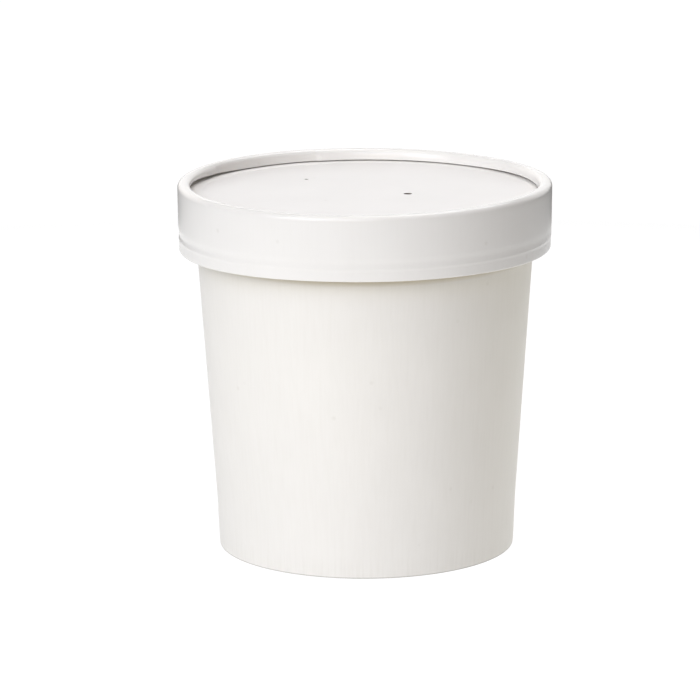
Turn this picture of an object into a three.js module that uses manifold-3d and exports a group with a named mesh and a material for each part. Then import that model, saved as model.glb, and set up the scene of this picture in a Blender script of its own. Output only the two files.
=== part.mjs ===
// Round white paper food container, shut with a vented paper lid.
// Millimetres, +Z up. The origin is at the middle of the ring that the cup stands on, and the
// front, the side turned to a person who looks at it, faces -Y.

import * as THREE from 'three';
import { mergeVertices } from 'three/addons/utils/BufferGeometryUtils.js';
import Module from 'manifold-3d';

const wasm = await Module();
wasm.setup();

// Driving sizes of the whole
const TOTAL_HEIGHT = 99.3;
const LID_DIAMETER = 100;
const BASE_DIAMETER = 79.04;
const WALL_TOP_DIAMETER = 92.04;
const BOARD = 0.5;
const GAP = 0.3;

// Cup: a tapered wall with a rolled rim above and a folded standing ring below
const RIM_TOP = 95;
const RIM_ROLL = 1.5;
const RIM_REACH = 48.6;
const FILL_DROP = 2;
const RING_WIDTH = 2;
const RING_EDGE = 0.4;
const RECESS_DEPTH = 7;

// Lid ring: a strip bent over into a bead at the top and turned under into a hem at the foot
const SKIRT_FOOT = 82;
const STRIP = 0.6;
const BEAD_WIDTH = 3.7;
const BEAD_CORNER = 1.5;
const BEAD_FOOT = 96.25;
const HEM_HEIGHT = 3.8;
const HEM_EDGE = 0.35;
const GROOVE_DEPTH = 0.45;
const GROOVE_FOOT = 85.6;
const GROOVE_FLOOR_FOOT = 86.3;
const GROOVE_FLOOR_TOP = 86.9;
const GROOVE_TOP = 87.6;

// Lid panel: a disc that the bead holds down, its edge coved up to the bead, with two vents
const PANEL_TOP = 95.65;
const PANEL_RADIUS = 48.9;
const COVE_RISE = 0.22;
const COVE_START = 44.2;
const VENTS = [
  { x: -15.65, y: 19.8, diameter: 1.6 },
  { x: 11.75, y: -1.65, diameter: 2.4 },
];
const PUNCH_LENGTH = 4;

// Laps: where the two ends of a wrapped sheet overlap, given by the direction from the axis
const LAP_STEP = 0.3;
const WALL_LAP = { azimuth: 66, width: 9 };
const RING_LAP = { azimuth: 150, width: 9 };

// Finish of each sheet
const CUP_FINISH = { color: 0xf2efe9, roughness: 0.55, metalness: 0 };
const BASE_FINISH = { color: 0xefece4, roughness: 0.6, metalness: 0 };
const RING_FINISH = { color: 0xf0eeea, roughness: 0.5, metalness: 0 };
const PANEL_FINISH = { color: 0xf4f1ed, roughness: 0.5, metalness: 0 };

// Sides of the turned forms and of the vents, and degrees between the points of an arc
const SIDES = 60;
const VENT_SIDES = 16;
const ARC_STEP = 30;
const MERGE_WITHIN = 1e-4;

const LID_RADIUS = LID_DIAMETER / 2;
const BEAD_INNER = LID_RADIUS - BEAD_WIDTH;
const BASE_RADIUS = BASE_DIAMETER / 2;
const WALL_TOP_RADIUS = WALL_TOP_DIAMETER / 2;
const WALL_SLOPE = (WALL_TOP_RADIUS - BASE_RADIUS) / RIM_TOP;

const point = (radius, height) => new THREE.Vector2(radius, height);

// Radius of the cup's outer wall at a height
const wallRadius = (height) => BASE_RADIUS + WALL_SLOPE * height;

// Points along an arc of the section, by its centre, radius and two angles in degrees
function arc(radius, height, size, from, to) {
  const steps = Math.max(2, Math.round(Math.abs(to - from) / ARC_STEP));
  const points = [];
  for (let i = 0; i <= steps; i += 1) {
    const angle = THREE.MathUtils.degToRad(from + ((to - from) * i) / steps);
    points.push(point(radius + size * Math.cos(angle), height + size * Math.sin(angle)));
  }
  return points;
}

// A section turned about the upright axis
function turned(section) {
  return new THREE.LatheGeometry(section, SIDES).rotateX(Math.PI / 2);
}

// A closed mesh as a solid: shared corners merged, and the flat slivers on the axis dropped
function solid(geometry) {
  const bare = geometry.clone();
  bare.deleteAttribute('normal');
  bare.deleteAttribute('uv');
  const merged = mergeVertices(bare, MERGE_WITHIN);
  const corners = merged.index.array;
  const triangles = [];
  for (let i = 0; i < corners.length; i += 3) {
    const [a, b, c] = corners.slice(i, i + 3);
    if (a !== b && b !== c && c !== a) triangles.push(a, b, c);
  }
  return new wasm.Manifold(new wasm.Mesh({
    numProp: 3,
    vertProperties: new Float32Array(merged.attributes.position.array),
    triVerts: new Uint32Array(triangles),
  }));
}

// A solid as a named mesh with its finish
function mesh(name, body, finish) {
  const { vertProperties, triVerts } = body.getMesh();
  const geometry = new THREE.BufferGeometry();
  geometry.setAttribute('position', new THREE.BufferAttribute(vertProperties, 3));
  geometry.setIndex(new THREE.BufferAttribute(triVerts, 1));
  geometry.computeVertexNormals();
  const piece = new THREE.Mesh(geometry, new THREE.MeshStandardMaterial(finish));
  piece.name = name;
  return piece;
}

// The raised end of a wrapped sheet: a shallow band that follows a wall of a given slope
function lap(footRadius, slope, foot, top, { azimuth, width }) {
  const start = THREE.MathUtils.degToRad(azimuth);
  const end = start + width / footRadius;
  const outline = new THREE.Shape();
  outline.absarc(0, 0, footRadius + LAP_STEP, start, end, false);
  outline.absarc(0, 0, footRadius - BOARD / 2, end, start, true);
  const band = new THREE.ExtrudeGeometry(outline, {
    depth: top - foot,
    bevelEnabled: false,
    curveSegments: 2,
  });
  const places = band.attributes.position;
  for (let i = 0; i < places.count; i += 1) {
    const spread = 1 + (slope * places.getZ(i)) / footRadius;
    places.setXY(i, places.getX(i) * spread, places.getY(i) * spread);
  }
  return solid(band.translate(0, 0, foot));
}

// The cup, shut and so solid, with the board's rolled rim standing over its fill
function cup() {
  const ceiling = RECESS_DEPTH + BOARD + GAP;
  const recessRadius = BASE_RADIUS - RING_WIDTH;
  const rollRadius = RIM_REACH - RIM_ROLL;
  const rollHeight = RIM_TOP - RIM_ROLL;
  const underRoll = rollHeight - RIM_ROLL;
  const fill = RIM_TOP - FILL_DROP;
  const section = [
    point(0, ceiling),
    point(recessRadius, ceiling),
    ...arc(recessRadius + RING_EDGE, RING_EDGE, RING_EDGE, 180, 270),
    ...arc(BASE_RADIUS - RING_EDGE, RING_EDGE, RING_EDGE, 270, 360),
    point(wallRadius(underRoll), underRoll),
    ...arc(rollRadius, rollHeight, RIM_ROLL, -90, 180),
    point(rollRadius - RIM_ROLL, fill),
    point(0, fill),
  ];
  const foot = RING_EDGE * 2;
  const seam = lap(wallRadius(foot), WALL_SLOPE, foot, underRoll, WALL_LAP);
  return solid(turned(section)).add(seam);
}

// The base disc, set up inside the standing ring
function cupBase() {
  const radius = BASE_RADIUS - RING_WIDTH - GAP;
  const edge = BOARD / 2;
  const section = [
    point(0, RECESS_DEPTH),
    ...arc(radius - edge, RECESS_DEPTH + edge, edge, -90, 90),
    point(0, RECESS_DEPTH + BOARD),
  ];
  return solid(turned(section));
}

// The ring strip: hem, pressed groove, straight skirt and the bead folded in over the panel
function lidRing() {
  const cornerHeight = TOTAL_HEIGHT - BEAD_CORNER;
  const hemTop = SKIRT_FOOT + HEM_HEIGHT;
  const hemInner = LID_RADIUS - STRIP * 2;
  const grooveRadius = LID_RADIUS - GROOVE_DEPTH;
  const section = [
    ...arc(hemInner + HEM_EDGE, SKIRT_FOOT + HEM_EDGE, HEM_EDGE, 180, 270),
    ...arc(LID_RADIUS - HEM_EDGE, SKIRT_FOOT + HEM_EDGE, HEM_EDGE, 270, 360),
    point(LID_RADIUS, GROOVE_FOOT),
    point(grooveRadius, GROOVE_FLOOR_FOOT),
    point(grooveRadius, GROOVE_FLOOR_TOP),
    point(LID_RADIUS, GROOVE_TOP),
    ...arc(LID_RADIUS - BEAD_CORNER, cornerHeight, BEAD_CORNER, 0, 90),
    ...arc(BEAD_INNER + BEAD_CORNER, cornerHeight, BEAD_CORNER, 90, 180),
    point(BEAD_INNER, BEAD_FOOT),
    point(LID_RADIUS - STRIP, BEAD_FOOT),
    point(LID_RADIUS - STRIP, hemTop + STRIP),
    point(hemInner, hemTop),
    point(hemInner, SKIRT_FOOT + HEM_EDGE),
  ];
  const hemSeam = lap(LID_RADIUS, 0, SKIRT_FOOT + HEM_EDGE, GROOVE_FOOT, RING_LAP);
  const skirtSeam = lap(LID_RADIUS, 0, GROOVE_TOP, cornerHeight, RING_LAP);
  return solid(turned(section)).add(hemSeam).add(skirtSeam);
}

// The panel: flat inside the bead, coved up under it, and pierced by the two vents
function lidPanel() {
  const underside = PANEL_TOP - BOARD;
  const section = [
    point(0, underside),
    point(COVE_START, underside),
    point(BEAD_INNER, underside + COVE_RISE),
    point(PANEL_RADIUS, underside + COVE_RISE),
    point(PANEL_RADIUS, PANEL_TOP + COVE_RISE),
    point(BEAD_INNER, PANEL_TOP + COVE_RISE),
    point(COVE_START, PANEL_TOP),
    point(0, PANEL_TOP),
  ];
  let panel = solid(turned(section));
  for (const { x, y, diameter } of VENTS) {
    const punch = new THREE.CylinderGeometry(diameter / 2, diameter / 2, PUNCH_LENGTH, VENT_SIDES);
    punch.rotateX(Math.PI / 2).translate(x, y, PANEL_TOP);
    panel = panel.subtract(solid(punch));
  }
  return panel;
}

const container = new THREE.Group();
container.add(
  mesh('cup', cup(), CUP_FINISH),
  mesh('cup_base', cupBase(), BASE_FINISH),
  mesh('lid_ring', lidRing(), RING_FINISH),
  mesh('lid_panel', lidPanel(), PANEL_FINISH),
);

export default container;
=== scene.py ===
import math

import bmesh
import bpy
from bpy.props import FloatProperty, FloatVectorProperty, PointerProperty
from mathutils import Matrix, Vector, noise


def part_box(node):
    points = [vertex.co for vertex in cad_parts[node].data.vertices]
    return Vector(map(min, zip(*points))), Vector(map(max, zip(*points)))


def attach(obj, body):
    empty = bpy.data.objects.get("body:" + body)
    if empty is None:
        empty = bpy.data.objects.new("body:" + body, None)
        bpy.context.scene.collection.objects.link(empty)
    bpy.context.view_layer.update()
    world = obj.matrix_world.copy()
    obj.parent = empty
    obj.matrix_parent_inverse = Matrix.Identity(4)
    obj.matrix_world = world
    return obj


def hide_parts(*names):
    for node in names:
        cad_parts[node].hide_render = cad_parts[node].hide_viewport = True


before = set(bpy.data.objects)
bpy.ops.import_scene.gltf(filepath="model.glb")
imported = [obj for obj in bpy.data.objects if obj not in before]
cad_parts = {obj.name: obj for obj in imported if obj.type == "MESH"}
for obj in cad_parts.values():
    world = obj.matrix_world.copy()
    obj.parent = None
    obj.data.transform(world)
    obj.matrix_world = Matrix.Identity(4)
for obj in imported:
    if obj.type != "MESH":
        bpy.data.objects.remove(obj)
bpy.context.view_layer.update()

bl_info = {
    "name": "Paper food container",
    "version": (1, 0, 0),
    "blender": (4, 5, 0),
    "location": "3D View > Sidebar > Container",
    "description": "A shut round paper food container with a vented paper lid",
    "category": "Object",
}

MM = 0.001

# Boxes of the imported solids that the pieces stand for
RING_LOW, RING_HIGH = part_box("lid_ring")
PANEL_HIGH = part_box("lid_panel")[1]
CUP_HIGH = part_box("cup")[1]
BASE_LOW, BASE_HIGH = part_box("cup_base")

# Fineness of the pieces
TURN_STEPS = 360
ARC_DEGREES = 11.25
SHARP_DEGREES = 38
MERGE_WITHIN = 1e-6


class ContainerSizes(bpy.types.PropertyGroup):
    """Sizes of the cup and its lid"""

    base_radius: FloatProperty(
        name="Base radius", description="Outer radius of the wall at the foot",
        default=39.41 * MM, unit="LENGTH", precision=5)
    wall_top_radius: FloatProperty(
        name="Wall radius at the rim", description="Outer radius of the wall just under the rolled rim",
        default=45.71 * MM, unit="LENGTH", precision=5)
    rim_roll: FloatProperty(
        name="Rim roll", description="Radius of the rolled rim's section",
        default=1.5 * MM, unit="LENGTH", precision=5)
    board: FloatProperty(
        name="Board", description="Thickness of the cup and panel board",
        default=0.42 * MM, unit="LENGTH", precision=5)
    ring_width: FloatProperty(
        name="Standing ring", description="Width of the folded ring that the cup stands on",
        default=1.89 * MM, unit="LENGTH", precision=5)
    lap_step: FloatProperty(
        name="Lap step", description="How far the outer end of a wrapped sheet stands proud",
        default=0.28 * MM, unit="LENGTH", precision=5)
    bead_width: FloatProperty(
        name="Bead width", description="Width of the bead on top of the lid ring",
        default=3.7 * MM, unit="LENGTH", precision=5)
    bead_dip: FloatProperty(
        name="Bead dip", description="How far the uneven bead dips below its highest place, halved",
        default=0.2 * MM, unit="LENGTH", precision=5)
    groove_depth: FloatProperty(
        name="Groove depth", description="Depth of the groove pressed in over the hem",
        default=0.4 * MM, unit="LENGTH", precision=5)
    slot: FloatProperty(
        name="Slot", description="Gap between the bead's foot and the panel",
        default=0.3 * MM, unit="LENGTH", precision=5)


class BoardFinish(bpy.types.PropertyGroup):
    """Colours and gloss of the white board"""

    cup_white: FloatVectorProperty(
        name="Cup white", description="Main colour of the cup board",
        default=(0.828, 0.804, 0.764), size=3, min=0.0, max=1.0, subtype="COLOR")
    lid_white: FloatVectorProperty(
        name="Lid white", description="Main colour of the lid ring",
        default=(0.846, 0.827, 0.802), size=3, min=0.0, max=1.0, subtype="COLOR")
    panel_white: FloatVectorProperty(
        name="Panel white", description="Main colour of the lid panel",
        default=(0.834, 0.812, 0.790), size=3, min=0.0, max=1.0, subtype="COLOR")
    roughness: FloatProperty(
        name="Roughness", description="Mean roughness of the coated board",
        default=0.42, min=0.0, max=1.0, subtype="FACTOR")


class StudioSetup(bpy.types.PropertyGroup):
    """Camera of the studio view"""

    elevation: FloatProperty(
        name="Elevation", description="How far the camera looks down",
        default=math.radians(13.156), subtype="ANGLE")
    roll: FloatProperty(
        name="Roll", description="How far the camera is turned about its own axis",
        default=math.radians(-0.286), subtype="ANGLE")
    distance: FloatProperty(
        name="Distance", description="From the camera to the point that it looks at",
        default=1.1852, unit="LENGTH")
    aim_height: FloatProperty(
        name="Aim height", description="Height of the point that the camera looks at",
        default=47.5 * MM, unit="LENGTH", precision=4)
    lens: FloatProperty(
        name="Lens", description="Focal length on a sensor 36 mm wide",
        default=226.3, unit="CAMERA")


# Section helpers

def arc(radius, height, reach, start, end, rise=None):
    """Points of a round or oval arc in the plane of radius and height, the angles in degrees."""
    rise = rise or reach
    steps = max(2, round(abs(end - start) / ARC_DEGREES))
    angles = [math.radians(start + (end - start) * i / steps) for i in range(steps + 1)]
    return [(radius + reach * math.cos(a), height + rise * math.sin(a)) for a in angles]


def straight(first, last, rows):
    """Points between two ends of a straight stretch, without the ends."""
    shares = [i / rows for i in range(1, rows)]
    return [tuple(a + (b - a) * t for a, b in zip(first, last)) for t in shares]


def smooth(share):
    """Eases a share from 0 to 1."""
    share = min(1.0, max(0.0, share))
    return share * share * (3 - 2 * share)


def turn(points, closed):
    """A bmesh of a section turned round the upright axis."""
    bm = bmesh.new()
    verts = [bm.verts.new((radius, 0, height)) for radius, height in points]
    pairs = list(zip(verts, verts[1:]))
    if closed:
        pairs.append((verts[-1], verts[0]))
    edges = [bm.edges.new(pair) for pair in pairs]
    bmesh.ops.spin(
        bm, geom=verts + edges, cent=(0, 0, 0), axis=(0, 0, 1),
        angle=math.tau, steps=TURN_STEPS, use_merge=True)
    bmesh.ops.remove_doubles(bm, verts=bm.verts, dist=MERGE_WITHIN)
    bmesh.ops.recalc_face_normals(bm, faces=bm.faces)
    return bm


def azimuth_of(co):
    """Direction of a point from the axis, in degrees from 0 to 360."""
    return math.degrees(math.atan2(co.y, co.x)) % 360


def turned_from(azimuth, start):
    """Degrees from a start direction, from -180 to 180."""
    return (azimuth - start + 180) % 360 - 180


def bump_at(azimuth, middle, half_width):
    """1 in the middle direction, eased to 0 at half a width to either side."""
    return smooth(1 - abs(turned_from(azimuth, middle)) / half_width)


def bumps_at(azimuth, bumps):
    """Sum of several bumps, each given by its middle azimuth, half width in degrees and amount."""
    return sum(amount * bump_at(azimuth, middle, half) for middle, half, amount in bumps)


def move_out(vert, amount):
    """Moves a vertex away from the axis."""
    out = Vector((vert.co.x, vert.co.y, 0))
    if out.length > MERGE_WITHIN:
        vert.co += out.normalized() * amount


def cut_upright(bm, azimuth):
    """Cuts edges into a turned shape along one upright plane through its axis."""
    angle = math.radians(azimuth)
    bmesh.ops.bisect_plane(
        bm, geom=bm.verts[:] + bm.edges[:] + bm.faces[:], dist=MERGE_WITHIN,
        plane_co=(0, 0, 0), plane_no=(-math.sin(angle), math.cos(angle), 0))


def object_of(bm, name, material):
    """Makes an object of a bmesh and links it to the scene."""
    mesh = bpy.data.meshes.new(name)
    bm.to_mesh(mesh)
    bm.free()
    mesh.materials.append(material)
    made = bpy.data.objects.new(name, mesh)
    bpy.context.scene.collection.objects.link(made)
    return made


def finish_piece(bm, name, node, material):
    """Makes a piece of a bmesh, smooth but for its sharp edges, and stands it for its node."""
    piece = object_of(bm, name, material)
    piece.data.shade_smooth()
    piece.data.set_sharp_from_angle(angle=math.radians(SHARP_DEGREES))
    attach(piece, "root")
    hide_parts(node)
    return piece


# Materials

# Patterns of the board: noise scale and detail, then the span of the noise that counts.
# A length below 1 draws a pattern out upright.
NOISE_ROUGHNESS = 0.55
MOTTLE_SCALE = 60
MOTTLE_DETAIL = 3
MOTTLE_SPAN = (0.35, 0.65)
MOTTLE_TONE = 0.985
FIBRE_SCALE = 1400
FIBRE_DETAIL = 3
FIBRE_LENGTH = 0.03
FIBRE_SPAN = (0.4, 0.7)
FIBRE_TINT = (0.965, 0.962, 0.955)
FIBRE_FLATTENING = 3
GRAIN_SCALE = 2600
GRAIN_DETAIL = 2
SPECK_SCALE = 95
SPECK_SPAN = (0.02, 0.075)
SPECK_TINT = (0.94, 0.935, 0.925)
RELIEF = 0.02 * MM
ROUGH_SPAN = (0.3, 0.7)
ROUGH_SPREAD = 0.02
PRESS_SCALE = 1250
PRESS_DETAIL = 1
PRESS_LENGTH = 0.02
PRESS_SPAN = (0.45, 0.65)
PRESS_RELIEF = 0.2
PRESS_TINT = (0.975, 0.973, 0.969)
# Painted shade: a warm shadow line on the cup's wall just under the lid's hem
UNDER_LID_PAINTED_SHADE = (0.8, 0.73, 0.58)
# Painted shadow: the contact shadow along the cup's foot edge
FOOT_PAINTED_SHADOW = (0.5, 0.49, 0.47)
# Painted shade: the dark of the shut cup, seen through the vents, on the cup's top inside the rim
INSIDE_PAINTED_SHADE = (0.06, 0.055, 0.05)
# Painted shade: the dark walls and underside inside the vent holes
VENT_PAINTED_SHADE = (0.3, 0.26, 0.2)
# Heights on the cup, and one radius, between which the press tint or a painted shade comes or goes
PRESS_FADE = (2.5 * MM, 6 * MM)
UNDER_LID_SHADE_RISE = (79.4 * MM, 80.9 * MM)
FOOT_SHADOW_FADE = (0.1 * MM, 0.34 * MM)
INSIDE_SHADE_RISE = (92 * MM, 92.5 * MM)
INSIDE_SHADE_REACH = (44.8 * MM, 45.2 * MM)


def node_of(material, kind, **values):
    """Adds a node and sets its properties and its inputs."""
    node = material.node_tree.nodes.new(kind)
    for key, value in values.items():
        if key in node.inputs:
            node.inputs[key].default_value = value
        else:
            setattr(node, key, value)
    return node


def noise_on(material, place, scale, detail, stretch=(1, 1, 1)):
    """A noise pattern on the piece's own coordinates, drawn out along an axis."""
    link = material.node_tree.links.new
    mapping = node_of(material, "ShaderNodeMapping", Scale=stretch)
    pattern = node_of(
        material, "ShaderNodeTexNoise", Scale=scale, Detail=detail, Roughness=NOISE_ROUGHNESS)
    link(place, mapping.inputs["Vector"])
    link(mapping.outputs["Vector"], pattern.inputs["Vector"])
    return pattern.outputs["Fac"]


def ranged(material, value, span, to_low, to_high):
    """Maps a span of a value to another, and holds its ends beyond."""
    node = node_of(
        material, "ShaderNodeMapRange",
        **{"From Min": span[0], "From Max": span[1], "To Min": to_low, "To Max": to_high})
    material.node_tree.links.new(value, node.inputs["Value"])
    return node.outputs["Result"]


def product(material, first, second):
    """Multiplies two values."""
    node = node_of(material, "ShaderNodeMath", operation="MULTIPLY")
    material.node_tree.links.new(first, node.inputs[0])
    material.node_tree.links.new(second, node.inputs[1])
    return node.outputs["Value"]


def own_place(material):
    """Places on the piece's own coordinates."""
    return node_of(material, "ShaderNodeTexCoord").outputs["Object"]


def height_of(material, place):
    """Height of a place."""
    split = node_of(material, "ShaderNodeSeparateXYZ")
    material.node_tree.links.new(place, split.inputs["Vector"])
    return split.outputs["Z"]


def tint(material, factor, colour):
    """Multiplies the board's colour by another, by as much as a factor says."""
    link = material.node_tree.links.new
    base = material.node_tree.nodes["Principled BSDF"].inputs["Base Color"]
    mix = node_of(material, "ShaderNodeMix", data_type="RGBA", blend_type="MULTIPLY")
    mix.inputs["B"].default_value = (*colour, 1)
    link(base.links[0].from_socket, mix.inputs["A"])
    link(factor, mix.inputs["Factor"])
    link(mix.outputs["Result"], base)


def emboss(material, height, strength, depth):
    """Adds a relief on top of those that the board already has."""
    link = material.node_tree.links.new
    normal = material.node_tree.nodes["Principled BSDF"].inputs["Normal"]
    relief = node_of(material, "ShaderNodeBump", Strength=strength, Distance=depth)
    link(height, relief.inputs["Height"])
    if normal.is_linked:
        link(normal.links[0].from_socket, relief.inputs["Normal"])
    link(relief.outputs["Normal"], normal)


def coated_board(name, white, roughness, streak, grain):
    """White coated board: a faint mottle, a fine upright fibre, grain and a few soft specks."""
    material = bpy.data.materials.new(name)
    material.use_nodes = True
    shader = material.node_tree.nodes["Principled BSDF"]
    link = material.node_tree.links.new
    place = own_place(material)

    mottle = noise_on(material, place, MOTTLE_SCALE, MOTTLE_DETAIL)
    fibre = noise_on(material, place, FIBRE_SCALE, FIBRE_DETAIL, (1, 1, FIBRE_LENGTH))
    fine = noise_on(material, place, GRAIN_SCALE, GRAIN_DETAIL)
    specks = node_of(material, "ShaderNodeTexVoronoi", Scale=SPECK_SCALE)
    link(place, specks.inputs["Vector"])

    tone = node_of(material, "ShaderNodeMix", data_type="RGBA")
    tone.inputs["A"].default_value = (*white, 1)
    tone.inputs["B"].default_value = (*(channel * MOTTLE_TONE for channel in white), 1)
    link(ranged(material, mottle, MOTTLE_SPAN, 0.0, 1.0), tone.inputs["Factor"])
    link(tone.outputs["Result"], shader.inputs["Base Color"])
    tint(material, ranged(material, fibre, FIBRE_SPAN, 0.0, streak), FIBRE_TINT)
    tint(material, ranged(material, specks.outputs["Distance"], SPECK_SPAN, 1.0, 0.0), SPECK_TINT)

    rough = ranged(
        material, mottle, ROUGH_SPAN, roughness - ROUGH_SPREAD, roughness + ROUGH_SPREAD)
    link(rough, shader.inputs["Roughness"])
    emboss(material, fine, grain, RELIEF)
    emboss(material, fibre, streak / FIBRE_FLATTENING, RELIEF)
    return material


def cup_board(white, roughness):
    """The cup's board: press-marked at the foot, with a painted contact shadow along the foot's edge, a
    warm painted shade under the lid and painted dark inside it.
    """
    material = coated_board("cup board", white, roughness, CUP_STREAK, CUP_GRAIN)
    link = material.node_tree.links.new
    place = own_place(material)
    height = height_of(material, place)
    marks = noise_on(material, place, PRESS_SCALE, PRESS_DETAIL, (1, 1, PRESS_LENGTH))
    marks = ranged(material, marks, PRESS_SPAN, 0.0, 1.0)
    pressed = product(material, marks, ranged(material, height, PRESS_FADE, 1.0, 0.0))
    tint(material, pressed, PRESS_TINT)
    emboss(material, pressed, PRESS_RELIEF, RELIEF)
    # Painted shade: the wall is tinted warm and darker just under the lid's hem
    tint(material, ranged(material, height, UNDER_LID_SHADE_RISE, 0.0, 1.0), UNDER_LID_PAINTED_SHADE)
    # Painted shadow: the foot's edge is darkened as a contact shadow
    tint(material, ranged(material, height, FOOT_SHADOW_FADE, 1.0, 0.0), FOOT_PAINTED_SHADOW)
    level = node_of(material, "ShaderNodeVectorMath", operation="MULTIPLY")
    level.inputs[1].default_value = (1, 1, 0)
    link(place, level.inputs[0])
    out = node_of(material, "ShaderNodeVectorMath", operation="LENGTH")
    link(level.outputs["Vector"], out.inputs[0])
    # Painted shade: the cup's top inside the rim is made near black, as the shut inside is dark
    within = ranged(material, out.outputs["Value"], INSIDE_SHADE_REACH, 1.0, 0.0)
    inside_shade = product(material, within, ranged(material, height, INSIDE_SHADE_RISE, 0.0, 1.0))
    tint(material, inside_shade, INSIDE_PAINTED_SHADE)
    return material


# Cup

CUP_STREAK = 0.5
CUP_GRAIN = 0.12
WALL_ROWS = 48
FOLD_ROWS = 6
FILL_BELOW_RIM = 2 * MM
BASE_CLEARANCE = 0.3 * MM
WALL_LAP_AZIMUTH = 66
WALL_LAP_WIDTH = 9 * MM
LAP_DRAPE = 3.5 * MM
LAP_EDGE = 0.1 * MM
FOLD_TOP = 5.9 * MM
FOLD_EDGE = 0.16 * MM
FOOT_BULGE = 0.3 * MM
FOOT_BULGE_RISE = 15 * MM
KNURL_RIDGES = 90
KNURL_DEPTH = 0.07 * MM
WALL_RIPPLE = 0.035 * MM
RIPPLE_ACROSS = 90
RIPPLE_UP = 18


def raise_lap(bm, azimuth, width, step, belongs):
    """Lifts the outer end of a wrapped sheet: a cut edge on one side, a soft drape on the other."""
    radius = max(vert.co.xy.length for vert in bm.verts)
    edge_turn = math.degrees(LAP_EDGE / radius)
    cut_upright(bm, azimuth)
    cut_upright(bm, azimuth + edge_turn)
    for vert in bm.verts:
        turn_by = turned_from(azimuth_of(vert.co), azimuth)
        along = math.radians(turn_by) * radius
        if along > LAP_EDGE / 2 and belongs(vert.co):
            move_out(vert, step * smooth((width + LAP_DRAPE - along) / LAP_DRAPE))


def cup_section(sizes):
    """The cup's section, from the axis under the fill round the outside to the axis on top."""
    rim_top = CUP_HIGH.z
    roll = sizes.rim_roll
    roll_radius = CUP_HIGH.x - roll
    roll_height = rim_top - roll
    fill = rim_top - FILL_BELOW_RIM
    ceiling = BASE_HIGH.z + BASE_CLEARANCE
    inner = sizes.base_radius - sizes.ring_width
    foot = FOLD_EDGE
    wall_foot = (sizes.base_radius, foot)
    wall_top = (sizes.wall_top_radius, roll_height - roll)
    return [
        (0, ceiling),
        (inner + sizes.board, ceiling),
        (inner + sizes.board, FOLD_TOP),
        (inner + sizes.board / 2, FOLD_TOP - sizes.board / 4),
        (inner, FOLD_TOP - sizes.board / 2),
        *straight((inner, FOLD_TOP - sizes.board / 2), (inner, foot), FOLD_ROWS),
        *arc(inner + foot, foot, foot, 180, 270),
        *arc(sizes.base_radius - foot, foot, foot, 270, 360),
        *straight(wall_foot, wall_top, WALL_ROWS),
        wall_top,
        *arc(roll_radius, roll_height, roll, -90, 180),
        (roll_radius - roll, fill),
        (0, fill),
    ]


class CONTAINER_OT_cup(bpy.types.Operator):
    """Builds the cup: tapered wall with its lap, folded standing ring and rolled rim"""

    bl_idname = "container.cup"
    bl_label = "Cup"

    def execute(self, context):
        sizes = context.scene.container_sizes
        finish = context.scene.board_finish
        bm = turn(cup_section(sizes), closed=False)
        inner = sizes.base_radius - sizes.ring_width
        outer_from = sizes.base_radius - FOLD_EDGE
        for vert in bm.verts:
            radius = vert.co.xy.length
            azimuth = math.radians(azimuth_of(vert.co))
            if radius < inner + MERGE_WITHIN and FOLD_EDGE < vert.co.z < FOLD_TOP - sizes.board:
                move_out(vert, -KNURL_DEPTH * (1 + math.cos(KNURL_RIDGES * azimuth)) / 2)
            if radius > outer_from - MERGE_WITHIN:
                move_out(vert, FOOT_BULGE * smooth(1 - vert.co.z / FOOT_BULGE_RISE))
            if radius > outer_from and vert.co.z > FOLD_EDGE:
                across = vert.co.xy * RIPPLE_ACROSS
                spot = Vector((across.x, across.y, vert.co.z * RIPPLE_UP))
                move_out(vert, WALL_RIPPLE * noise.noise(spot))
        rim_foot = CUP_HIGH.z - 2 * sizes.rim_roll
        raise_lap(
            bm, WALL_LAP_AZIMUTH, WALL_LAP_WIDTH, sizes.lap_step,
            lambda co: FOLD_EDGE < co.z < rim_foot and co.xy.length > outer_from)
        board = cup_board(finish.cup_white, finish.roughness)
        piece = finish_piece(bm, "cup_shell", "cup", board)
        fill_set().objects.link(piece)
        return {"FINISHED"}


# Base disc

BASE_ROUGHER = 0.08
BASE_STREAK = 0.1
BASE_GRAIN = 0.15
BASE_ROWS = 10
BASE_BEND = 1.2 * MM
BASE_SAG = 0.25 * MM
BASE_TURN_DOWN = 1.1 * MM


class CONTAINER_OT_base(bpy.types.Operator):
    """Builds the base disc, drawn up inside the standing ring with its edge turned down"""

    bl_idname = "container.base"
    bl_label = "Base disc"

    def execute(self, context):
        sizes = context.scene.container_sizes
        finish = context.scene.board_finish
        edge = BASE_HIGH.x
        bend = BASE_BEND
        low = BASE_LOW.z
        high = low + sizes.board
        inside = edge - sizes.board
        section = [
            (0, low),
            *straight((0, low), (inside - bend, low), BASE_ROWS),
            *arc(inside - bend, low - bend, bend, 90, 0),
            (inside, low - BASE_TURN_DOWN - bend / 2),
            (edge, low - BASE_TURN_DOWN - bend / 2),
            *arc(inside - bend, low - bend, bend + sizes.board, 0, 90),
            *straight((inside - bend, high), (0, high), BASE_ROWS),
            (0, high),
        ]
        bm = turn(section, closed=False)
        for vert in bm.verts:
            share = vert.co.xy.length / edge
            vert.co.z += BASE_SAG * smooth(1 - share)
        roughness = finish.roughness + BASE_ROUGHER
        board = coated_board("base board", finish.cup_white, roughness, BASE_STREAK, BASE_GRAIN)
        finish_piece(bm, "base_disc", "cup_base", board)
        return {"FINISHED"}


# Lid ring

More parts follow.
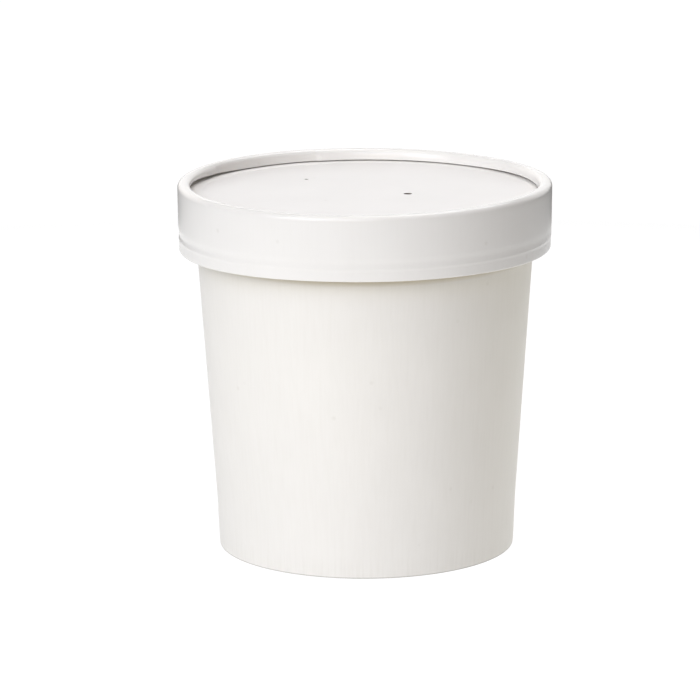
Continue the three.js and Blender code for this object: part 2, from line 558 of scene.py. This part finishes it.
RING_SMOOTHER = 0.175
RING_STREAK = 0.2
RING_GRAIN = 0.1
HEM_ROWS = 6
SKIRT_ROWS = 10
BEAD_ROWS = 3
FACE_ROWS = 4
STRIP = 0.6 * MM
BEAD_CORNER = 1.5 * MM
BEAD_INNER_REACH = 1.6 * MM
BEAD_INNER_RISE = 2.3 * MM
BEAD_HIGH_AZIMUTH = 145
HEM_THICK = 1.0 * MM
HEM_EDGE = 0.28 * MM
HEM_BULGE = 0.1 * MM
GROOVE_FOOT = 84.9 * MM
GROOVE_TOP = 88.4 * MM
GROOVE_POINTS = 14
GROOVE_SHALLOW_SHARE = 0.26
# Middle azimuth, half width in degrees and how much of the full depth the groove gains there
GROOVE_DEEPS = ((178, 18, 0.3), (350, 45, -0.2))
# The hem and groove hang uneven: everywhere, then by middle azimuth, half width and further drop
HEM_DROP = 0.18 * MM
HEM_DROPS = ((195, 75, 0.85 * MM), (338, 45, 0.25 * MM))
HEM_EASE = 5.0 * MM
SKIRT_LEAN = 0.22 * MM
RING_LAP_AZIMUTH = 150
RING_LAP_WIDTH = 9 * MM
INNER_LAP_FROM = 104.8
INNER_LAP_TO = 150
INNER_LAP_STEP = -0.5 * MM
INNER_LAP_EASE = 2.0
# Middle azimuth, half width in degrees, rise of the bead's foot and how far it is tucked back
SLOT_GAPES = (
    (172, 40, 1.1 * MM, 0.5 * MM),
    (14, 44, 0.4 * MM, 0.1 * MM),
)


def groove(sizes):
    """Points of the groove pressed in between the hem and the skirt, from below."""
    points = []
    for i in range(1, GROOVE_POINTS):
        share = i / GROOVE_POINTS
        depth = sizes.groove_depth * math.sin(math.pi * share) ** 2
        foot_step = HEM_BULGE * (1 - smooth(share * 2))
        points.append((
            RING_HIGH.x - foot_step - depth, GROOVE_FOOT + (GROOVE_TOP - GROOVE_FOOT) * share))
    return points


def ring_section(sizes):
    """The ring's closed section: hem, groove, skirt, bead and the strip's inner face."""
    radius = -RING_LOW.x
    foot = RING_LOW.z
    top = RING_HIGH.z - sizes.bead_dip
    inner = radius - sizes.bead_width
    bead_foot = PANEL_HIGH.z + sizes.slot
    hem = radius - HEM_BULGE
    hem_inner = hem - HEM_THICK
    hem_foot = (hem, foot + HEM_EDGE)
    hem_top = (hem, GROOVE_FOOT)
    skirt_foot = (radius, GROOVE_TOP)
    skirt_top = (radius, top - BEAD_CORNER)
    inner_top = (inner, top - BEAD_INNER_RISE)
    inner_foot = (inner, bead_foot)
    face = radius - STRIP
    return [
        *arc(hem_inner + HEM_EDGE, foot + HEM_EDGE, HEM_EDGE, 180, 270),
        *arc(hem - HEM_EDGE, foot + HEM_EDGE, HEM_EDGE, 270, 360),
        *straight(hem_foot, hem_top, HEM_ROWS),
        hem_top,
        *groove(sizes),
        skirt_foot,
        *straight(skirt_foot, skirt_top, SKIRT_ROWS),
        *arc(radius - BEAD_CORNER, top - BEAD_CORNER, BEAD_CORNER, 0, 90),
        *arc(
            inner + BEAD_INNER_REACH, top - BEAD_INNER_RISE, BEAD_INNER_REACH, 90, 180,
            BEAD_INNER_RISE),
        *straight(inner_top, inner_foot, BEAD_ROWS),
        inner_foot,
        (inner + STRIP, bead_foot),
        (face, bead_foot + STRIP / 2),
        *straight((face, bead_foot), (face, GROOVE_FOOT + STRIP), FACE_ROWS),
        (face, GROOVE_FOOT + STRIP),
        (hem_inner, GROOVE_FOOT),
    ]


class CONTAINER_OT_ring(bpy.types.Operator):
    """Builds the lid ring: hem, pressed groove, skirt, uneven bead and the strip's lap"""

    bl_idname = "container.ring"
    bl_label = "Lid ring"

    def execute(self, context):
        sizes = context.scene.container_sizes
        finish = context.scene.board_finish
        bm = turn(ring_section(sizes), closed=True)
        radius = -RING_LOW.x
        foot = RING_LOW.z
        inner = radius - sizes.bead_width
        bead_foot = PANEL_HIGH.z + sizes.slot
        bead_top = RING_HIGH.z - sizes.bead_dip
        edge_turn = math.degrees(LAP_EDGE / inner)
        for azimuth in (INNER_LAP_FROM, INNER_LAP_TO - edge_turn, INNER_LAP_TO):
            cut_upright(bm, azimuth)
        for vert in bm.verts:
            out = vert.co.xy.length
            azimuth = azimuth_of(vert.co)
            height = vert.co.z
            if GROOVE_FOOT < height < GROOVE_TOP and out > radius - STRIP + MERGE_WITHIN:
                share = GROOVE_SHALLOW_SHARE + bumps_at(azimuth, GROOVE_DEEPS)
                move_out(vert, (radius - out) * (1 - share))
            if out > inner + BEAD_INNER_REACH:
                move_out(vert, -SKIRT_LEAN * (bead_top - height) / (bead_top - foot))
            drop = HEM_DROP + bumps_at(azimuth, HEM_DROPS)
            vert.co.z -= drop * smooth((GROOVE_TOP + HEM_EASE - height) / HEM_EASE)
            if height < bead_foot - MERGE_WITHIN:
                continue
            rise = smooth((height - bead_foot) / (bead_top - bead_foot))
            wave = math.cos(math.radians(2 * (azimuth - BEAD_HIGH_AZIMUTH)))
            vert.co.z += sizes.bead_dip * wave * rise
            if out > inner + BEAD_INNER_REACH:
                continue
            for middle, half_width, gape, tuck in SLOT_GAPES:
                near = bump_at(azimuth, middle, half_width) * (1 - rise)
                vert.co.z += gape * near
                move_out(vert, tuck * near)
            if INNER_LAP_FROM < azimuth < INNER_LAP_TO - edge_turn / 2:
                ease = smooth((azimuth - INNER_LAP_FROM) / INNER_LAP_EASE)
                ease *= smooth((bead_top - height) / BEAD_INNER_RISE)
                move_out(vert, -INNER_LAP_STEP * ease)
        outer_from = radius - STRIP + MERGE_WITHIN
        raise_lap(
            bm, RING_LAP_AZIMUTH, RING_LAP_WIDTH, sizes.lap_step,
            lambda co: co.xy.length > outer_from and co.z < bead_top - BEAD_CORNER)
        roughness = finish.roughness - RING_SMOOTHER
        board = coated_board("ring board", finish.lid_white, roughness, RING_STREAK, RING_GRAIN)
        finish_piece(bm, "lid_ring_strip", "lid_ring", board)
        return {"FINISHED"}


# Lid panel

PANEL_SMOOTHER = 0.06
PANEL_STREAK = 0.0
PANEL_GRAIN = 0.1
COVE_START = 44.2 * MM
COVE_RISE = 0.22 * MM
COVE_STEPS = 8
PANEL_MARGIN = 0.5 * MM
# Each vent's place and radius
VENTS = (
    (-15.8 * MM, 20.3 * MM, 0.58 * MM),
    (11.5 * MM, -1.2 * MM, 1.15 * MM),
)
VENT_LIP = 0.05 * MM
VENT_UNDERCUT = 0.33 * MM
VENT_SIDES = 40
VENT_EDGE_DEGREES = 60


def round_edges(bm, x, y, radius):
    """Open edges that lie about a centre at a radius."""
    centre = Vector((x, y))
    return [
        edge for edge in bm.edges
        if edge.is_boundary
        and abs((edge.verts[0].co.xy - centre).length - radius) < PANEL_MARGIN / 2]


def draw_edge(bm, edges, x, y, radius, height):
    """Draws a round open edge in or out to another radius and height, and returns the new edge."""
    centre = Vector((x, y))
    drawn = bmesh.ops.extrude_edge_only(bm, edges=edges)["geom"]
    for vert in drawn:
        if isinstance(vert, bmesh.types.BMVert):
            vert.co.xy = centre + (vert.co.xy - centre).normalized() * radius
            vert.co.z = height
    return [part for part in drawn if isinstance(part, bmesh.types.BMEdge)]


class CONTAINER_OT_panel(bpy.types.Operator):
    """Builds the lid panel: a disc coved up to the bead and punched with two vents"""

    bl_idname = "container.panel"
    bl_label = "Lid panel"

    def execute(self, context):
        sizes = context.scene.container_sizes
        finish = context.scene.board_finish
        flat = PANEL_HIGH.z - COVE_RISE
        inner = -RING_LOW.x - sizes.bead_width
        bm = bmesh.new()
        rounds = [(0, 0, COVE_START - PANEL_MARGIN, TURN_STEPS)]
        rounds += [(x, y, radius + PANEL_MARGIN, VENT_SIDES) for x, y, radius in VENTS]
        for x, y, radius, sides in rounds:
            place = Matrix.Translation((x, y, flat))
            bmesh.ops.create_circle(bm, radius=radius, segments=sides, matrix=place)
        bmesh.ops.triangle_fill(bm, edges=bm.edges[:], use_beauty=True)
        for x, y, radius in VENTS:
            draw_edge(bm, round_edges(bm, x, y, radius + PANEL_MARGIN), x, y, radius, flat)
        rim = round_edges(bm, 0, 0, COVE_START - PANEL_MARGIN)
        rim = draw_edge(bm, rim, 0, 0, COVE_START, flat)
        for i in range(1, COVE_STEPS + 1):
            share = i / COVE_STEPS
            reach = COVE_START + (inner - COVE_START) * share
            rim = draw_edge(bm, rim, 0, 0, reach, flat + COVE_RISE * smooth(share))
        draw_edge(bm, rim, 0, 0, PANEL_HIGH.x, PANEL_HIGH.z)
        bmesh.ops.recalc_face_normals(bm, faces=bm.faces)
        if sum(face.normal.z for face in bm.faces) < 0:
            bmesh.ops.reverse_faces(bm, faces=bm.faces)
        bmesh.ops.solidify(bm, geom=bm.faces[:], thickness=sizes.board)
        for lip, on_top in ((VENT_LIP, True), (VENT_UNDERCUT, False)):
            edges = [
                edge for edge in bm.edges
                if edge.calc_face_angle(0) > math.radians(VENT_EDGE_DEGREES)
                and edge.verts[0].co.xy.length < COVE_START - PANEL_MARGIN
                and (edge.verts[0].co.z > flat - sizes.board / 2) == on_top]
            bmesh.ops.bevel(
                bm, geom=edges, offset=lip, offset_type="OFFSET", affect="EDGES",
                segments=2, profile=0.5, material=-1)
        roughness = finish.roughness - PANEL_SMOOTHER
        board = coated_board("panel board", finish.panel_white, roughness, PANEL_STREAK, PANEL_GRAIN)
        height = height_of(board, own_place(board))
        deep = flat - VENT_LIP
        # Painted shade: the vent walls and the panel's underside are darkened below the top lip
        tint(board, ranged(board, height, (deep - VENT_LIP, deep), 1.0, 0.0), VENT_PAINTED_SHADE)
        finish_piece(bm, "lid_panel_disc", "lid_panel", board)
        return {"FINISHED"}


# Stage

FLOOR_SIZE = 6.0
FLOOR_CELLS = 4
IMAGE_SIDE = 700
# Where the point that the camera looks at lies in the picture
AIM_PIXEL = (365.66, 368.63)
SENSOR_WIDTH = 36
CLIP_START = 0.05
LIGHT_AIM = 50 * MM
LIGHTS = (
    # name, azimuth, elevation, distance, size, power, colour
    ("key_low", -42, 20, 2.0, 1.0, 12.2, (0.99, 1.01, 1.0)),
    ("key_middle", -42, 38, 2.0, 1.0, 8.5, (0.88, 0.95, 1.17)),
    ("key_high", -42, 56, 2.0, 1.0, 4.5, (1.02, 1.03, 0.95)),
    ("front_low", -8, 20, 2.0, 1.0, 6.0, (1.2, 1.07, 0.73)),
    ("front_high", -8, 38, 2.0, 1.0, 5.8, (0.86, 0.9, 1.24)),
    ("top", 0, 89, 2.0, 1.3, 6.0, (1.14, 1.04, 0.82)),
    ("back_high", 145, 62, 2.0, 1.3, 18.0, (0.98, 0.99, 1.03)),
    ("behind", 180, 12, 2.0, 1.3, 6.4, (1.0, 1.0, 1.0)),
    ("rim_left", -145, 12, 2.0, 1.3, 6.1, (1.07, 1.0, 0.93)),
    ("rim_right", 145, 12, 2.0, 1.3, 6.7, (1.0, 1.0, 1.0)),
)
FILL_LIGHT = ("side_fill", 100, 12, 0.22, 0.08, 0.036, (1.0, 0.9, 0.5))
FILL_SET = "side fill reaches"
WORLD_STRENGTH = 0.01
FLOOR_WHITE = 0.12
FLOOR_ROUGHNESS = 0.9
FLOOR_GLOW = (0.94, 0.94, 0.94)
CARD_RADIUS = 0.45
CARD_HEIGHT = 0.1
CARD_SIDES = 64
CARD_BLACK = 0.01
CARD_ROUGHNESS = 1.0


def softbox(name, azimuth, elevation, distance, size, power, colour):
    """A square area light that faces the container, by its direction from it as seen from the front."""
    light = bpy.data.lights.new(name, "AREA")
    light.shape = "SQUARE"
    light.size = size
    light.energy = power
    light.color = colour
    turn_by = math.radians(azimuth)
    rise = math.radians(elevation)
    aim = Vector((0, 0, LIGHT_AIM))
    place = Vector((
        math.sin(turn_by) * math.cos(rise),
        -math.cos(turn_by) * math.cos(rise),
        math.sin(rise)))
    lamp = bpy.data.objects.new(name, light)
    lamp.visible_camera = False
    lamp.location = aim + place * distance
    lamp.rotation_euler = place.to_track_quat("Z", "Y").to_euler()
    bpy.context.scene.collection.objects.link(lamp)
    return lamp


def fill_set():
    """The set of pieces that the side fill lights."""
    return bpy.data.collections.get(FILL_SET) or bpy.data.collections.new(FILL_SET)


def matt(name, tone, roughness):
    """A plain grey without gloss."""
    material = bpy.data.materials.new(name)
    material.use_nodes = True
    shader = material.node_tree.nodes["Principled BSDF"]
    shader.inputs["Base Color"].default_value = (tone, tone, tone, 1)
    shader.inputs["Roughness"].default_value = roughness
    shader.inputs["Specular IOR Level"].default_value = 0.0
    return material


def pale_floor():
    """A plain floor that glows an even white, as a lit sweep does."""
    bm = bmesh.new()
    bmesh.ops.create_grid(
        bm, x_segments=FLOOR_CELLS, y_segments=FLOOR_CELLS, size=FLOOR_SIZE / 2)
    material = matt("pale floor", FLOOR_WHITE, FLOOR_ROUGHNESS)
    shader = material.node_tree.nodes["Principled BSDF"]
    shader.inputs["Emission Color"].default_value = (*FLOOR_GLOW, 1)
    shader.inputs["Emission Strength"].default_value = 1.0
    floor = object_of(bm, "floor", material)


def black_cards():
    """Low black cards stood round the set, out of the camera's sight, that cut the floor's far glow."""
    bm = bmesh.new()
    bmesh.ops.create_cone(
        bm, cap_ends=False, segments=CARD_SIDES, radius1=CARD_RADIUS, radius2=CARD_RADIUS,
        depth=CARD_HEIGHT, matrix=Matrix.Translation((0, 0, CARD_HEIGHT / 2)))
    cards = object_of(bm, "black_cards", matt("black card", CARD_BLACK, CARD_ROUGHNESS))
    cards.visible_camera = False


def photo_camera(studio):
    """The camera at the viewing angle of the photograph."""
    rise = studio.elevation
    forward = Vector((0, math.cos(rise), -math.sin(rise)))
    level_up = Vector((0, math.sin(rise), math.cos(rise)))
    level_right = Vector((1, 0, 0))
    right = level_right * math.cos(studio.roll) + level_up * math.sin(studio.roll)
    up = level_up * math.cos(studio.roll) - level_right * math.sin(studio.roll)
    data = bpy.data.cameras.new("camera")
    data.lens = studio.lens
    data.sensor_width = SENSOR_WIDTH
    data.shift_x = (IMAGE_SIDE / 2 - AIM_PIXEL[0]) / IMAGE_SIDE
    data.shift_y = (AIM_PIXEL[1] - IMAGE_SIDE / 2) / IMAGE_SIDE
    data.clip_start = CLIP_START
    camera = bpy.data.objects.new("camera", data)
    place = Vector((0, 0, studio.aim_height)) - forward * studio.distance
    turn_matrix = Matrix((right, up, -forward)).transposed()
    camera.matrix_world = Matrix.Translation(place) @ turn_matrix.to_4x4()
    bpy.context.scene.collection.objects.link(camera)
    bpy.context.scene.camera = camera


class CONTAINER_OT_stage(bpy.types.Operator):
    """Sets the pale floor, the soft studio light and the camera"""

    bl_idname = "container.stage"
    bl_label = "Stage"

    def execute(self, context):
        scene = context.scene
        pale_floor()
        black_cards()
        for light in LIGHTS:
            softbox(*light)
        softbox(*FILL_LIGHT).light_linking.receiver_collection = fill_set()
        world = bpy.data.worlds.new("studio")
        world.use_nodes = True
        background = world.node_tree.nodes["Background"]
        background.inputs["Color"].default_value = (1, 1, 1, 1)
        background.inputs["Strength"].default_value = WORLD_STRENGTH
        scene.world = world
        scene.view_settings.view_transform = "Standard"
        photo_camera(scene.studio_setup)
        return {"FINISHED"}


class CONTAINER_PT_pieces(bpy.types.Panel):
    """Lists the container's pieces and its stage"""

    bl_label = "Paper food container"
    bl_idname = "CONTAINER_PT_pieces"
    bl_space_type = "VIEW_3D"
    bl_region_type = "UI"
    bl_category = "Container"

    def draw(self, context):
        for operator in OPERATORS:
            self.layout.operator(operator.bl_idname)
        for group_name in GROUPS:
            group = getattr(context.scene, group_name)
            column = self.layout.column()
            for name in group.__annotations__:
                column.prop(group, name)


OPERATORS = (
    CONTAINER_OT_stage,
    CONTAINER_OT_cup,
    CONTAINER_OT_base,
    CONTAINER_OT_panel,
    CONTAINER_OT_ring,
)
GROUPS = {
    "container_sizes": ContainerSizes,
    "board_finish": BoardFinish,
    "studio_setup": StudioSetup,
}


def register():
    for cls in (*GROUPS.values(), *OPERATORS, CONTAINER_PT_pieces):
        bpy.utils.register_class(cls)
    for name, group in GROUPS.items():
        setattr(bpy.types.Scene, name, PointerProperty(type=group))


def unregister():
    for name in GROUPS:
        delattr(bpy.types.Scene, name)
    for cls in (CONTAINER_PT_pieces, *reversed(OPERATORS), *GROUPS.values()):
        bpy.utils.unregister_class(cls)


def main():
    register()
    bpy.ops.container.stage()
    bpy.ops.container.cup()
    bpy.ops.container.base()
    bpy.ops.container.panel()
    bpy.ops.container.ring()


if __name__ == "__main__":
    main()
